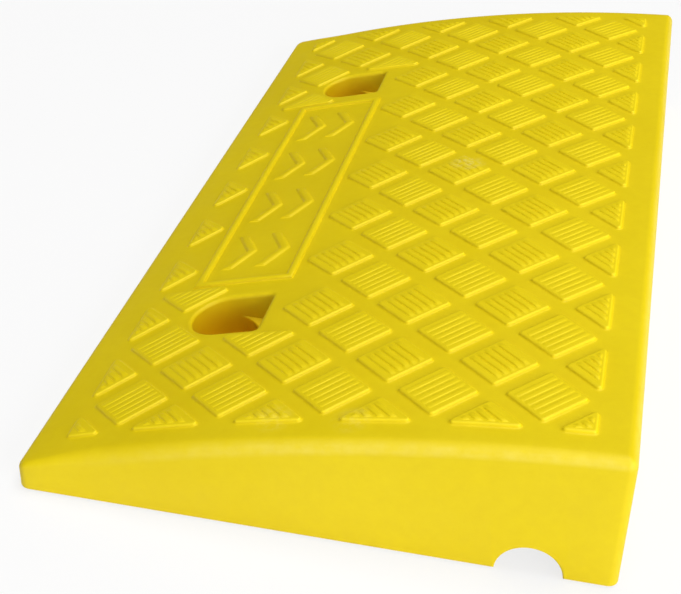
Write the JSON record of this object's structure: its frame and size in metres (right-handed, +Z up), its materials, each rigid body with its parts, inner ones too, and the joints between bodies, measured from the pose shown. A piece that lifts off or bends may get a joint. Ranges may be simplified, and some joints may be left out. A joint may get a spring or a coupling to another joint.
{
  "type": "threshold ramp",
  "caption": "Portable threshold ramp: a hollow ribbed wedge with a crowned tread deck, recessed anchor pockets, a half-round drain channel across its width and push-in rubber feet.",
  "frame": {"origin": "on the ground under the middle of the ramp", "axes": "+X from the low toe edge towards the tall back edge, +Y along the width, +Z up"},
  "size_m": [0.27, 0.5, 0.0711],
  "materials": {
    "yellow_plastic": "satin moulded plastic, coloured through",
    "black_rubber": "matt"
  },
  "bodies": {
    "root": {"ramp_shell": "yellow_plastic", "rubber_foot_front_1": "black_rubber", "rubber_foot_front_2": "black_rubber", "rubber_foot_front_3": "black_rubber", "rubber_foot_front_4": "black_rubber", "rubber_foot_middle_1": "black_rubber", "rubber_foot_middle_2": "black_rubber", "rubber_foot_middle_3": "black_rubber", "rubber_foot_middle_4": "black_rubber", "rubber_foot_rear_1": "black_rubber", "rubber_foot_rear_2": "black_rubber", "rubber_foot_rear_3": "black_rubber", "rubber_foot_rear_4": "black_rubber"}
  },
  "joints": []
}
